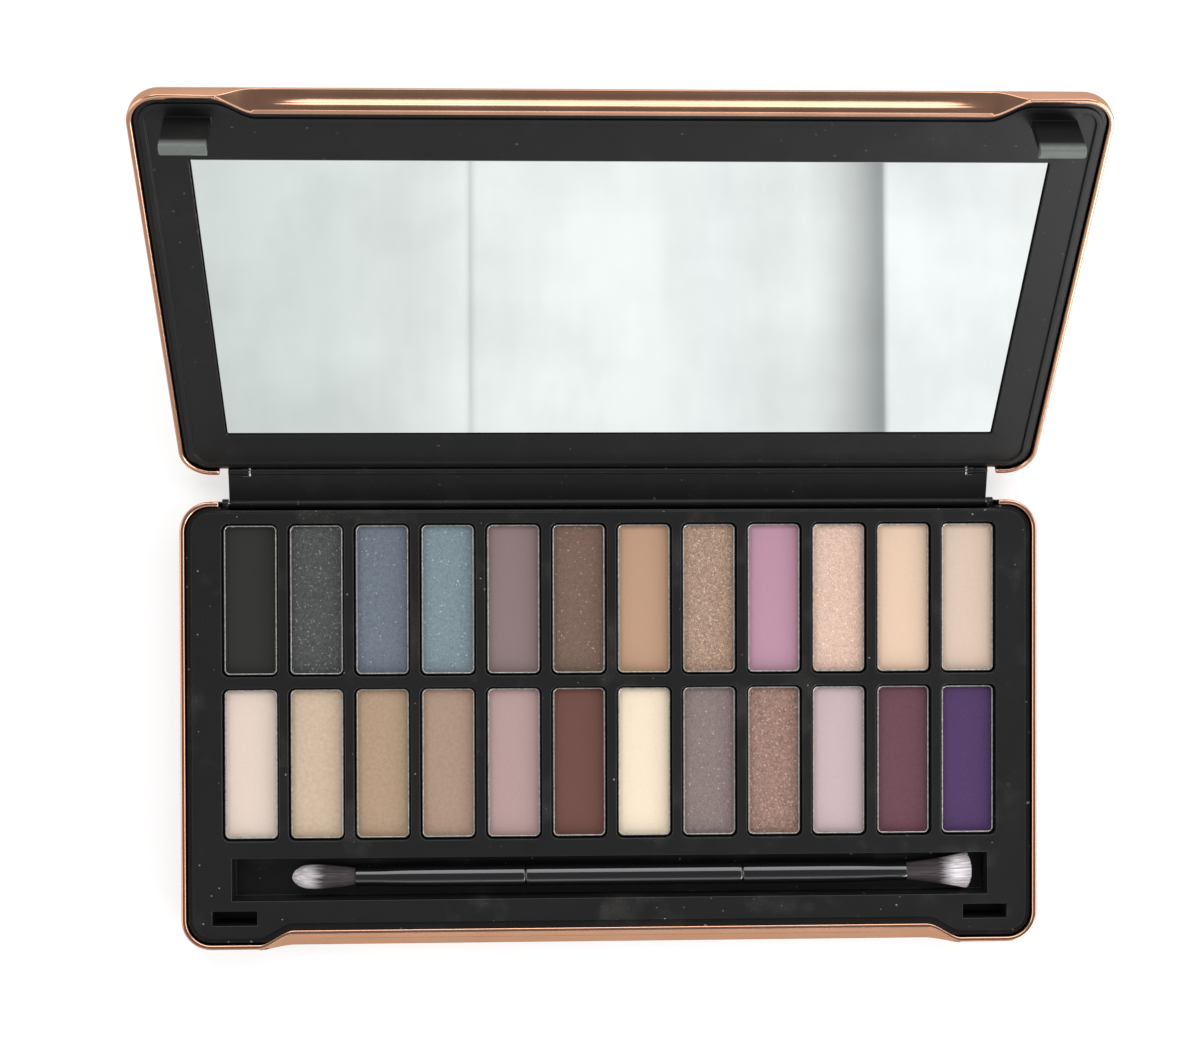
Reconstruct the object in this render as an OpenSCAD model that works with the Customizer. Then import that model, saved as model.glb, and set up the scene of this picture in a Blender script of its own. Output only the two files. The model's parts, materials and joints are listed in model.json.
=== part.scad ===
// Hinged tin eyeshadow palette, 24 pans, lid mirror and a double-ended brush.
// Millimetres, +Z up, +X to the right, +Y to the hinge at the back.
// The origin is the middle of the face that the base rests on.
// Pieces of the lid are drawn as they lie on the closed case, then swung open.

/* [Case] */
// Width of the case
case_w = 200; // [165:1:240]
// Depth of the case, front to back
case_d = 104; // [86:1:126]
// Height of the base tin
base_h = 10; // [9:0.1:12]
// Height of the lid tin
lid_h = 6.2; // [6:0.1:9]
// Corner radius seen from above
corner_r = 7; // [5:0.5:10]
// Rounding of the base's lower edge
base_edge_r = 4; // [3:0.1:4.5]
// Rounding of the lid's outer edge
lid_edge_r = 4.5; // [3.9:0.1:4.9]
// Sheet thickness of both tins
sheet = 0.4; // [0.3:0.05:0.5]
// Width of the rolled rim
rim_w = 1.15; // [0.9:0.05:1.4]
// Height of the rolled rim
rim_h = 1; // [0.7:0.1:1.5]
// Gap between the two rims when the case is shut
parting = 0.3; // [0.2:0.05:0.6]
// Gap between a tin and the moulding inside it
fit_gap = 0.15; // [0.1:0.05:0.3]

/* [Finger recess] */
// How far the front rims are set back
recess = 3.4; // [2:0.1:4.5]
// Half the width of the recess, to the start of its bend
recess_half = 74; // [40:1:76]
// Width of each bend at its ends
recess_bend = 8.5; // [6:0.5:12]
// Height over which the recess fades into the base wall
base_fade = 5.5; // [4:0.1:7]
// Height over which the recess fades into the lid wall
lid_fade = 3; // [2.5:0.1:4]

/* [Tray] */
// Height of the deck above the table
deck_z = 9.2; // [8.4:0.1:9.4]
// Thickness of the deck
deck_t = 1.4; // [1:0.1:1.8]
// Drop from the deck to the shoulder around it
shoulder_drop = 0.6; // [0.3:0.1:1]
// Distance from the outside of the case to the deck's raised edge
shoulder_in = 2.5; // [2.2:0.1:3]
// Thickness of the tray's thin walls
tray_wall = 1; // [0.7:0.1:1.2]

/* [Pans] */
// Pans in each of the two rows
pan_count = 12; // [6:1:14]
// Land from the side of the case to the first pan
side_land = 9.88; // [8:0.02:12]
// Land from the back of the case to the back row
rear_land = 5.52; // [5:0.02:8]
// Rib between neighbouring pans
pan_rib = 2.96; // [2:0.02:4]
// Rib between the two rows
row_rib = 3.38; // [2:0.02:5]
// Depth of a pan
pan_h = 3; // [2:0.1:3.2]
// Depth of a pan's rim below the deck
pan_sink = 1.4; // [0.5:0.1:1.8]
// Sheet thickness of a pan
pan_t = 0.35; // [0.2:0.05:0.5]
// Corner radius of a pan
pan_r = 1.3; // [0.8:0.1:2]
// Gap between a pan and its well
well_gap = 0.4; // [0.2:0.05:0.6]
// Depth of the powder below the pan's rim
powder_low = 0.3; // [0.1:0.05:0.6]
// Slope width around the pressed powder
powder_slope = 0.7; // [0.3:0.05:1.2]

/* [Brush trough] */
// Width of the trough
trough_w = 9.8; // [9.6:0.1:12]
// Land from the side of the case to the trough
trough_side = 11.6; // [9:0.1:20]
// Rib between the front row and the trough
trough_rib = 4.44; // [3:0.02:6]
// Land from the trough to the front of the case
front_land = 11.2; // [10.6:0.1:14]
// Height of the trough's floor above the table
trough_z = 2.4; // [1.8:0.1:3.2]

/* [Brush] */
// Radius of the handle
handle_r = 2.6; // [2.2:0.05:2.8]
// Radius of each ferrule at its mouth
mouth_r = 2.3; // [2:0.05:2.6]
// Wall thickness of a ferrule
ferrule_t = 0.4; // [0.3:0.05:0.6]
// Length of the ferrule at the domed end
dome_ferrule = 39.7; // [20:0.1:46]
// Length of the ferrule at the flat end
flat_ferrule = 38.9; // [20:0.1:46]
// Length of the domed tuft outside its ferrule
dome_tuft = 14.9; // [8:0.1:18]
// Length of the flat tuft outside its ferrule
flat_tuft = 15.8; // [8:0.1:18]
// Widest radius of the domed tuft
dome_r = 2.85; // [2.4:0.05:3.4]
// Width of the flat tuft at its tip
flat_w = 9; // [6:0.1:9.2]
// Thickness of the flat tuft
flat_t = 3; // [2:0.1:4]
// Room for a fingertip beside the brush, in the trough
finger_room = 13.5; // [10:0.1:20]
// Room at the brush's other end
end_room = 2.9; // [1:0.1:5]
// Depth that each tuft and tenon reaches into a ferrule
root = 6; // [4:0.5:10]

/* [Mirror] */
// Land from the side of the case to the mirror
mirror_side = 11.55; // [10:0.05:16]
// Land from the back of the case to the mirror
mirror_rear = 12; // [9:0.1:16]
// Land from the front of the case to the mirror
mirror_front = 16.3; // [14:0.1:22]
// Thickness of the mirror glass
glass_t = 1.2; // [1:0.1:1.4]
// Thickness of the adhesive pad behind the glass
pad_t = 0.3; // [0.2:0.05:0.4]
// Depth of the frame's face inside the lid's rim
frame_sink = 1; // [0.9:0.05:1.2]
// Depth of the glass below the frame's face
glass_sink = 0.5; // [0.2:0.05:0.6]
// Gap around the mirror glass
glass_gap = 0.2; // [0.1:0.05:0.4]
// Height of the bead around the frame's face
bead_h = 0.5; // [0.3:0.05:0.6]
// Width of the bead
bead_w = 1.3; // [0.8:0.1:1.6]
// Distance from the outside of the case to the bead
bead_in = 2.3; // [2:0.05:3]

/* [Catch] */
// Width of a hook
hook_w = 9.4; // [6:0.1:12]
// Length of a hook below the frame's face
hook_len = 10.2; // [8:0.1:10.3]
// Thickness of a hook's stem
hook_t = 1.6; // [1.2:0.1:2]
// Reach of a hook's nose from its stem
nose = 1.2; // [0.8:0.05:1.4]
// Height of the nose
nose_h = 1.9; // [1.5:0.1:2.5]
// Distance from the side of the case to the middle of a hook
hook_side = 12.2; // [11:0.1:20]
// Distance from the front of the case to a slot
slot_front = 5.5; // [5.2:0.1:5.8]
// Gap between a hook and its slot
hook_gap = 0.4; // [0.3:0.05:0.6]

/* [Hinge] */
// Distance of both hinge axes from the back of the case
axis_in = 0.6; // [0.5:0.05:0.9]
// Height of the base hinge axis above the table
base_axis_z = 3.2; // [3:0.1:3.6]
// Depth of the lid hinge axis inside the lid's rim
lid_axis_in = 0.8; // [0.7:0.05:1]
// Radius of the spine's barrel at the base
base_barrel = 1.2; // [1:0.05:1.25]
// Radius of the spine's barrel at the lid
lid_barrel = 0.9; // [0.8:0.05:0.95]
// Thickness of the spine
spine_t = 1.2; // [0.9:0.05:1.4]
// Radius of the base hinge pins
base_pin = 0.6; // [0.5:0.05:0.7]
// Radius of the lid hinge pins
lid_pin = 0.45; // [0.4:0.05:0.5]
// Running gap around a pin
pin_gap = 0.05; // [0.02:0.01:0.1]
// Clear gap between hinge pieces that pass each other
hinge_gap = 0.3; // [0.25:0.05:0.4]
// Land from the side of the case to the cut in the base's rear wall
cut_side = 9.05; // [8.5:0.05:11]
// Thickness of the ears and lugs that hold the pins
ear_t = 1.4; // [1:0.1:2]
// Length of a pin inside the spine
pin_in = 4; // [3:0.1:6]
// Distance from the spine's end to a lid lug
lug_in = 3.5; // [3:0.1:6]
// Turn of the spine, from closed to open
base_turn = 75; // [60:1:80]
// Turn of the lid on the spine, from closed to open
lid_turn = 61; // [40:1:65]

/* [Hidden] */
function two_digits(n) = str(n < 10 ? "0" : "", n);
function powder_name(row, i) = str("powder_", row, "_", two_digits(i + 1));

$fn = 96;
far = 400;
bend_steps = 10;

rose_gold = [0.86, 0.66, 0.57];
black_plastic = [0.1, 0.1, 0.1];
black_lacquer = [0.05, 0.05, 0.06];
pan_metal = [0.75, 0.75, 0.74];
pin_metal = [0.6, 0.6, 0.62];
mirror_silver = [0.86, 0.89, 0.88];
pad_grey = [0.3, 0.3, 0.3];
bristle = [0.8, 0.76, 0.77];

back_row_colours = [
    [0.23, 0.23, 0.22], [0.33, 0.34, 0.34], [0.45, 0.48, 0.53], [0.52, 0.58, 0.6],
    [0.56, 0.48, 0.49], [0.49, 0.4, 0.36], [0.75, 0.61, 0.51], [0.68, 0.57, 0.49],
    [0.75, 0.58, 0.65], [0.89, 0.76, 0.69], [0.91, 0.79, 0.7], [0.85, 0.76, 0.69]
];
front_row_colours = [
    [0.9, 0.83, 0.78], [0.82, 0.73, 0.63], [0.71, 0.61, 0.51], [0.69, 0.58, 0.51],
    [0.73, 0.62, 0.6], [0.45, 0.33, 0.3], [0.97, 0.9, 0.8], [0.55, 0.49, 0.48],
    [0.62, 0.5, 0.45], [0.8, 0.71, 0.72], [0.43, 0.29, 0.33], [0.33, 0.24, 0.4]
];

// Overlap of shapes that make one piece
bond = 0.1;

back_y = case_d / 2;
front_y = -case_d / 2;
lid_z = base_h + parting;
lid_top = lid_z + lid_h;

// Pans
row_w = case_w - 2 * side_land;
pan_w = (row_w - (pan_count - 1) * pan_rib) / pan_count;
pan_l = (case_d - rear_land - row_rib - trough_rib - trough_w - front_land) / 2;
pan_top = deck_z - pan_sink;
pan_z = pan_top - pan_h;
back_row_y = back_y - rear_land - pan_l / 2;
front_row_y = back_row_y - pan_l - row_rib;
wells_y = (back_row_y + front_row_y) / 2;
powder_top = pan_top - powder_low;
powder_crown = 0.2;

// Trough and brush
trough_l = case_w - 2 * trough_side;
trough_y = front_y + front_land + trough_w / 2;
seat_gap = 0.2;
brush_z = trough_z + seat_gap + max(handle_r, dome_r);
brush_start = -trough_l / 2 + finger_room;
brush_end = trough_l / 2 - end_room;
dome_mouth_x = brush_start + dome_tuft;
dome_seam_x = dome_mouth_x + dome_ferrule;
flat_mouth_x = brush_end - flat_tuft;
flat_seam_x = flat_mouth_x - flat_ferrule;
seam_wall = 1;
tenon_r = handle_r - seam_wall;

// Mirror and its frame
mirror_w = case_w - 2 * mirror_side;
mirror_d = case_d - mirror_rear - mirror_front;
mirror_y = (mirror_front - mirror_rear) / 2;
face_z = lid_z + frame_sink;
glass_z = face_z + glass_sink;
pad_z = glass_z + glass_t;
pocket_z = pad_z + pad_t;
frame_back_t = 0.7;
frame_wall = 1.4;
glass_r = 0.4;
pad_in = 3;
pad_r = 1;

// Catch
hook_x = case_w / 2 - hook_side;
side_gap = 1.25 * hook_gap;
stem_gap = 0.5 * hook_gap;
nose_gap = 0.75 * hook_gap;
slot_w = hook_w + 2 * side_gap;
slot_d = stem_gap + hook_t + nose + nose_gap;
slot_y = front_y + slot_front + slot_d / 2;
slot_floor_t = 0.4;
stem_y = slot_y - slot_d / 2 + stem_gap + hook_t / 2;
hook_tip_z = face_z - hook_len;
catch_bar_z = hook_tip_z + nose_h + stem_gap;
catch_bar_t = 2.2;
catch_bar_w = nose - stem_gap;

// Hinge
axis_y = back_y - axis_in;
lid_axis_z = lid_z + lid_axis_in;
spine_l = lid_axis_z - base_axis_z;
cut_half = case_w / 2 - cut_side;
cut_low_z = 1.7;
lid_cut_half = cut_half + 0.4;
cut_gap = 0.05;
ear_x = cut_half - cut_gap - ear_t;
spine_half = ear_x - hinge_gap;
lug_x = spine_half - lug_in - ear_t;
barrel_gap = 0.2;
tray_back_y = axis_y - base_barrel - barrel_gap;
frame_back_y = axis_y - max(lid_barrel, spine_t / 2) - hinge_gap;
marks_x = [-51.6, 37.5];
mark_r = 0.9;
mark_depth = 0.15;
bore_extra = 0.4;
pin_recess = 0.2;
notch_reach = 2;

// ---- Shapes shared by both halves of the case ----

// A flat rectangle with round corners, centred
module round_rect(w, d, r) {
    square([w - 2 * r, d], center = true);
    square([w, d - 2 * r], center = true);
    for (x = [-1, 1], y = [-1, 1])
        translate([x * (w / 2 - r), y * (d / 2 - r)]) circle(r);
}

// Section of a wall whose foot is rounded, r to the right and z up
module foot_section(r, edge_r, h) {
    square([r - edge_r, h]);
    translate([0, edge_r]) square([r, h - edge_r]);
    intersection() {
        translate([r - edge_r, edge_r]) circle(edge_r);
        square([r, edge_r]);
    }
}

// A slab with round corners and a rounded foot, centred, standing on z = 0
module soft_slab(w, d, r, edge_r, h) {
    translate([-w / 2 + r, -d / 2 + r, 0]) cube([w - 2 * r, d - 2 * r, h]);
    for (a = [0, 180]) rotate([0, 0, a]) {
        translate([w / 2 - r, d / 2 - r, 0]) rotate([90, 0, 0])
            linear_extrude(d - 2 * r) foot_section(r, edge_r, h);
        translate([-w / 2 + r, d / 2 - r, 0]) rotate([90, 0, 90])
            linear_extrude(w - 2 * r) foot_section(r, edge_r, h);
        translate([w / 2 - r, d / 2 - r, 0])
            rotate_extrude(angle = 90) foot_section(r, edge_r, h);
        translate([-w / 2 + r, d / 2 - r, 0]) rotate([0, 0, 90])
            rotate_extrude(angle = 90) foot_section(r, edge_r, h);
    }
}

// Outline of the front recess, with a smooth bend at each end; y = 0 is the front of the case
function smooth(t) = t * t * (3 - 2 * t);
recess_reach = 20;
recess_outline = concat(
    [[recess_half + recess_bend, -recess_reach]],
    [for (i = [0:bend_steps])
        [recess_half + recess_bend * (1 - i / bend_steps), recess * smooth(i / bend_steps)]],
    [for (i = [0:bend_steps])
        [-recess_half - recess_bend * i / bend_steps, recess * (1 - smooth(i / bend_steps))]],
    [[-recess_half - recess_bend, -recess_reach]]
);

// What the finger recess takes away: the outline at the rim, leaning out as it goes down
module recess_cut(inset, rim_z, fade) {
    lean = atan(recess / fade);
    translate([0, front_y + inset, rim_z]) rotate([-lean, 0, 0])
        translate([0, 0, -recess_reach / 2]) linear_extrude(recess_reach)
            polygon([for (p = recess_outline) [p.x, p.y * cos(lean)]]);
}

// The case's outline seen from above, taken in by a distance
module outline(inset) {
    difference() {
        round_rect(case_w - 2 * inset, case_d - 2 * inset, corner_r - inset);
        translate([0, front_y + inset]) polygon(recess_outline);
    }
}

// One half of the case as a solid, foot down, taken in by a distance at the sides
module half_case(inset, foot_z, top_z, edge_r, rim_z, fade) {
    difference() {
        translate([0, 0, foot_z])
            soft_slab(case_w - 2 * inset, case_d - 2 * inset, corner_r - inset,
                edge_r - inset, top_z - foot_z);
        recess_cut(inset, rim_z, fade);
    }
}

// A tin half, foot down: thin sheet with a rolled rim
module tin_half(h, edge_r, fade) {
    difference() {
        half_case(0, 0, h, edge_r, h, fade);
        half_case(sheet, sheet, h - rim_h, edge_r, h, fade);
        half_case(rim_w, sheet, h + 1, edge_r, h, fade);
    }
}

// Turns the lid's pieces over, between foot down and foot up on the closed case
module as_lid() {
    translate([0, 0, lid_top]) mirror([0, 0, 1]) children();
}

// A box from its low and high corners
module box(low, high) {
    translate(low) cube(high - low);
}

module both_sides() {
    children();
    mirror([1, 0, 0]) children();
}

// A rod along X between two places, round an axis of the hinge
module rod_x(x0, x1, z, r) {
    translate([x0, axis_y, z]) rotate([0, 90, 0]) cylinder(r = r, h = x1 - x0);
}

// Swings the closed spine, and the closed lid with it, to the open pose
module swing_spine() {
    translate([0, axis_y, base_axis_z]) rotate([-base_turn, 0, 0])
        translate([0, -axis_y, -base_axis_z]) children();
}

module swing_lid() {
    swing_spine() translate([0, axis_y, lid_axis_z]) rotate([-lid_turn, 0, 0])
        translate([0, -axis_y, -lid_axis_z]) children();
}

// ---- Base ----

module tin_base() {
    color(rose_gold) difference() {
        tin_half(base_h, base_edge_r, base_fade);
        box([-cut_half, back_y - base_edge_r, cut_low_z], [cut_half, back_y + 1, base_h + 1]);
    }
}

tray_in = rim_w + fit_gap;
wall_extra = 0.4;
tray_under = tray_in + tray_wall + wall_extra;
shoulder_z = deck_z - shoulder_drop;
well_block_z = pan_z - tray_wall;

function pan_x(i) = -row_w / 2 + pan_w / 2 + i * (pan_w + pan_rib);

module each_pan(y) {
    for (i = [0:pan_count - 1]) translate([pan_x(i), y, 0]) children();
}

// The blocks that stay under the deck around the wells, the trough and the slots
module tray_blocks() {
    wells_w = row_w + 2 * (well_gap + tray_wall);
    wells_d = 2 * pan_l + row_rib + 2 * (well_gap + tray_wall);
    translate([0, wells_y, well_block_z])
        linear_extrude(deck_z - deck_t - well_block_z)
            square([wells_w, wells_d], center = true);
    translate([0, trough_y, trough_z - tray_wall])
        linear_extrude(deck_z - deck_t - trough_z + tray_wall)
            square([trough_l + 2 * tray_wall, trough_w + 2 * tray_wall], center = true);
    for (x = [-hook_x, hook_x]) translate([x, slot_y, sheet])
        linear_extrude(deck_z - deck_t - sheet)
            square([slot_w + 2 * tray_wall, slot_d + 2 * tray_wall], center = true);
    translate([0, wells_y, sheet]) linear_extrude(well_block_z - sheet) {
        square([wells_w, tray_wall], center = true);
        for (k = [-1, 0, 1]) translate([k * wells_w / 4, 0])
            square([tray_wall, wells_d], center = true);
    }
}

module tray_body() {
    difference() {
        half_case(tray_in, sheet, shoulder_z, base_edge_r, base_h, base_fade);
        difference() {
            translate([0, 0, -1]) linear_extrude(deck_z - deck_t + 1) outline(tray_under);
            tray_blocks();
        }
    }
    translate([0, 0, shoulder_z]) linear_extrude(shoulder_drop) outline(shoulder_in);
}

module base_tray() {
    color(black_plastic) difference() {
        union() {
            difference() {
                tray_body();
                box([-cut_half + cut_gap, tray_back_y, 0],
                    [cut_half - cut_gap, back_y + 1, base_h]);
            }
            both_sides() {
                rod_x(ear_x, ear_x + ear_t, base_axis_z, base_barrel);
                box([ear_x, tray_back_y - 1, base_axis_z - base_barrel],
                    [ear_x + ear_t, axis_y, base_axis_z + base_barrel]);
            }
        }
        for (y = [back_row_y, front_row_y]) each_pan(y)
            translate([0, 0, pan_z]) linear_extrude(deck_z)
                round_rect(pan_w + 2 * well_gap, pan_l + 2 * well_gap, pan_r + well_gap);
        box([-trough_l / 2, trough_y - trough_w / 2, trough_z],
            [trough_l / 2, trough_y + trough_w / 2, base_h]);
        for (x = [-hook_x, hook_x]) translate([x, slot_y, 0]) difference() {
            box([-slot_w / 2, -slot_d / 2, sheet + slot_floor_t],
                [slot_w / 2, slot_d / 2, base_h]);
            box([-slot_w / 2, slot_d / 2 - catch_bar_w, catch_bar_z],
                [slot_w / 2, slot_d / 2, catch_bar_z + catch_bar_t]);
        }
        both_sides() rod_x(ear_x - 1, ear_x + ear_t + 1, base_axis_z, base_pin);
    }
}

module pans(y) {
    color(pan_metal) each_pan(y) translate([0, 0, pan_z]) difference() {
        linear_extrude(pan_h) round_rect(pan_w, pan_l, pan_r);
        translate([0, 0, pan_t]) linear_extrude(pan_h)
            round_rect(pan_w - 2 * pan_t, pan_l - 2 * pan_t, pan_r - pan_t);
    }
}

// Pressed powder: its border lies a little lower than its middle
module powder(y, i, tint) {
    low_z = pan_z + pan_t;
    border_z = powder_top - powder_crown;
    w = pan_w - 2 * pan_t;
    l = pan_l - 2 * pan_t;
    color(tint) translate([pan_x(i), y, low_z]) {
        linear_extrude(border_z - low_z) round_rect(w, l, pan_r - pan_t);
        linear_extrude(powder_top - low_z)
            round_rect(w - 2 * powder_slope, l - 2 * powder_slope, pan_r - pan_t);
    }
}

module base_hinge_pins() {
    color(pin_metal) both_sides()
        rod_x(spine_half - pin_in, ear_x + ear_t, base_axis_z, base_pin);
}

// ---- Spine ----

module hinge_spine() {
    lug_low = lug_x - hinge_gap;
    lug_high = lug_x + ear_t + hinge_gap;
    color(black_plastic) swing_spine() difference() {
        union() {
            box([-spine_half, axis_y - spine_t / 2, base_axis_z],
                [spine_half, axis_y + spine_t / 2, lid_axis_z]);
            rod_x(-spine_half, spine_half, base_axis_z, base_barrel);
            rod_x(-spine_half, spine_half, lid_axis_z, lid_barrel);
        }
        both_sides() {
            rod_x(spine_half - pin_in - bore_extra, spine_half + 1, base_axis_z,
                base_pin + pin_gap);
            rod_x(lug_x - pin_in, spine_half + 1, lid_axis_z, lid_pin);
            box([lug_low, axis_y - notch_reach, lid_axis_z - lid_barrel - hinge_gap],
                [lug_high, axis_y + notch_reach, lid_axis_z + notch_reach]);
        }
        for (x = marks_x) translate([x, axis_y - spine_t / 2 - 1, (base_axis_z + lid_axis_z) / 2])
            rotate([-90, 0, 0]) cylinder(r = mark_r, h = 1 + mark_depth);
    }
}

module lid_hinge_pins() {
    color(pin_metal) swing_spine() both_sides()
        rod_x(lug_x - pin_in, spine_half - pin_recess, lid_axis_z, lid_pin);
}

// ---- Lid ----

module tin_lid() {
    color(rose_gold) swing_lid() difference() {
        as_lid() tin_half(lid_h, lid_edge_r, lid_fade);
        box([-lid_cut_half, back_y - rim_w - 1, lid_z - 1],
            [lid_cut_half, back_y + 1, lid_axis_z + lid_barrel + 2 * hinge_gap]);
    }
}

// A hook: a stem down from the frame's face, and a nose that points to the hinge
module hook() {
    low = hook_tip_z;
    half_t = hook_t / 2;
    chamfer = 0.5;
    lead = 0.9;
    translate([-hook_w / 2, stem_y, 0]) rotate([90, 0, 90]) linear_extrude(hook_w)
        polygon([
            [-half_t, face_z + bond], [-half_t, low + chamfer], [-half_t + chamfer, low],
            [half_t + nose - lead, low], [half_t + nose, low + lead],
            [half_t + nose, low + nose_h], [half_t, low + nose_h], [half_t, face_z + bond]
        ]);
}

module frame_body() {
    as_lid() half_case(tray_in, sheet, lid_top - face_z, lid_edge_r, lid_h, lid_fade);
    translate([0, 0, face_z - bead_h]) linear_extrude(bead_h + bond) difference() {
        outline(bead_in);
        outline(bead_in + bead_w);
    }
    for (x = [-hook_x, hook_x]) translate([x, 0, 0]) hook();
}

module mirror_frame() {
    pocket_w = mirror_w + 2 * glass_gap;
    pocket_d = mirror_d + 2 * glass_gap;
    back_in = tray_in + frame_wall;
    color(black_plastic) swing_lid() difference() {
        union() {
            difference() {
                frame_body();
                box([-lid_cut_half, frame_back_y, lid_z - 1], [lid_cut_half, back_y, lid_top]);
            }
            both_sides() {
                rod_x(lug_x, lug_x + ear_t, lid_axis_z, lid_barrel);
                box([lug_x, frame_back_y - 1, face_z],
                    [lug_x + ear_t, axis_y, lid_axis_z + lid_barrel]);
            }
        }
        translate([0, mirror_y, face_z - 1]) linear_extrude(pocket_z - face_z + 1)
            round_rect(pocket_w, pocket_d, glass_r + glass_gap);
        translate([0, 0, pocket_z + frame_back_t]) linear_extrude(lid_h) difference() {
            outline(back_in);
            translate([-lid_cut_half, frame_back_y - frame_wall]) square([2 * lid_cut_half, far]);
        }
        both_sides() rod_x(lug_x - 1, lug_x + ear_t + 1, lid_axis_z, lid_pin + pin_gap);
    }
}

module mirror_glass() {
    color(mirror_silver) swing_lid() translate([0, mirror_y, glass_z])
        linear_extrude(glass_t) round_rect(mirror_w, mirror_d, glass_r);
}

module mirror_pad() {
    color(pad_grey) swing_lid() translate([0, mirror_y, pad_z])
        linear_extrude(pad_t) round_rect(mirror_w - 2 * pad_in, mirror_d - 2 * pad_in, pad_r);
}

// ---- Brush ----

// A round piece of the brush, from its outline as [distance along, radius] points
module turned(x, points) {
    translate([x, trough_y, brush_z]) rotate([0, 90, 0]) rotate_extrude()
        polygon([for (p = points) [p.y, p.x]]);
}

module brush_handle() {
    l = flat_seam_x - dome_seam_x;
    color(black_lacquer) turned(dome_seam_x, [
        [-root, 0], [-root, tenon_r], [0, tenon_r], [0, handle_r],
        [l, handle_r], [l, tenon_r], [l + root, tenon_r], [l + root, 0]
    ]);
}

// A ferrule from its mouth (0) to its seam with the handle (l), with a slight neck
neck_dip = 0.1;
function ferrule_points(l) = let (neck = 0.12 * l, swell = 0.3 * l) [
    [0, mouth_r], [neck, mouth_r - neck_dip], [swell, handle_r], [l, handle_r],
    [l, tenon_r], [l - root, tenon_r], [root, mouth_r - ferrule_t], [0, mouth_r - ferrule_t]
];

module ferrule_domed() {
    color(black_lacquer) turned(dome_mouth_x, ferrule_points(dome_ferrule));
}

module ferrule_flat() {
    color(black_lacquer) translate([flat_mouth_x + flat_seam_x, 0, 0]) mirror([1, 0, 0])
        turned(flat_seam_x, ferrule_points(flat_ferrule));
}

dome_steps = 10;
dome_share = 0.45;

module tuft_domed() {
    root_r = mouth_r - ferrule_t;
    cap = dome_share * dome_tuft;
    color(bristle) turned(brush_start, concat(
        [for (i = [0:dome_steps]) [cap * (1 - cos(90 * i / dome_steps)),
            dome_r * sin(90 * i / dome_steps)]],
        [[dome_tuft, mouth_r], [dome_tuft, root_r], [dome_tuft + root, root_r]],
        [[dome_tuft + root, 0]]
    ));
}

module tuft_flat() {
    root_r = mouth_r - ferrule_t;
    fan = 0.7 * flat_tuft;
    fan_w = flat_w / 2 - 0.3;
    corner = 0.8;
    color(bristle) {
        translate([flat_mouth_x, trough_y, brush_z - flat_t / 2]) linear_extrude(flat_t)
            polygon([
                [0, -mouth_r], [fan, -fan_w], [flat_tuft - corner, -flat_w / 2],
                [flat_tuft, -flat_w / 2 + corner], [flat_tuft, flat_w / 2 - corner],
                [flat_tuft - corner, flat_w / 2], [fan, fan_w], [0, mouth_r]
            ]);
        turned(flat_mouth_x - root, [[0, 0], [0, root_r], [root + 1, root_r], [root + 1, 0]]);
    }
}

tin_base();
base_tray();
pans(back_row_y);  // pans_back_row
pans(front_row_y);  // pans_front_row
base_hinge_pins();
for (i = [0:pan_count - 1]) {
    powder(back_row_y, i, back_row_colours[i]);
    powder(front_row_y, i, front_row_colours[i]);
}
hinge_spine();
lid_hinge_pins();
tin_lid();
mirror_frame();
mirror_glass();
mirror_pad();
brush_handle();
ferrule_domed();
ferrule_flat();
tuft_domed();
tuft_flat();
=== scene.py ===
import json
import math
import random

import bmesh
import bpy
from mathutils import Matrix, Vector, noise


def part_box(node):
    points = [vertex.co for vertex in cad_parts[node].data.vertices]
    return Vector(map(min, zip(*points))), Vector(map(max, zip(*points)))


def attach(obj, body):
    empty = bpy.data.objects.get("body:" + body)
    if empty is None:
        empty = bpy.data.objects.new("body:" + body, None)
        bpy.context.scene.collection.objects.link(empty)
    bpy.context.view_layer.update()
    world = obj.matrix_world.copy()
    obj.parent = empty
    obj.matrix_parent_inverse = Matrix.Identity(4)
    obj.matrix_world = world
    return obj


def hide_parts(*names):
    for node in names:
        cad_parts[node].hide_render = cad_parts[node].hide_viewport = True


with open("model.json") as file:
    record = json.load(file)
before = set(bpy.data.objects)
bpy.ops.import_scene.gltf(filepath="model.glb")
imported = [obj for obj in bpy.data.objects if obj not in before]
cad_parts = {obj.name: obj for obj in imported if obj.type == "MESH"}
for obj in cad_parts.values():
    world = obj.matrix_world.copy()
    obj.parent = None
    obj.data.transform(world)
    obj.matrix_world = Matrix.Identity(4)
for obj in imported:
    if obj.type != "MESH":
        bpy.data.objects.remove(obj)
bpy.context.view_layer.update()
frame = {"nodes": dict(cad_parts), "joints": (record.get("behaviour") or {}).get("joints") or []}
nodes = frame["nodes"]

MM = 0.001
UP = (0, 0, 1)

# Each hinge axis runs along X; these are its places along Y and Z
HINGES = {joint["name"]: joint for joint in frame["joints"] if joint["type"] == "hinge"}
BASE_AXIS = HINGES["base_hinge"]["pos_m"][1:]
LID_AXIS = HINGES["lid_hinge"]["pos_m"][1:]

# The open lid leans back by what its hinges leave of half a turn, and its rim looks that way
LID_LEAN = math.pi - math.radians(sum(joint["range_deg"][1] for joint in HINGES.values()))
LID_RIM = (0, -math.sin(LID_LEAN), math.cos(LID_LEAN))


# ---- Materials ----

def linear(red, green, blue, share=1.0):
    """A display colour, 0 to 255, as the shader wants it, times a share of its light."""
    def one(level):
        level = level / 255
        return (level / 12.92 if level <= 0.04045 else ((level + 0.055) / 1.055) ** 2.4) * share
    return (one(red), one(green), one(blue), 1.0)


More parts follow.
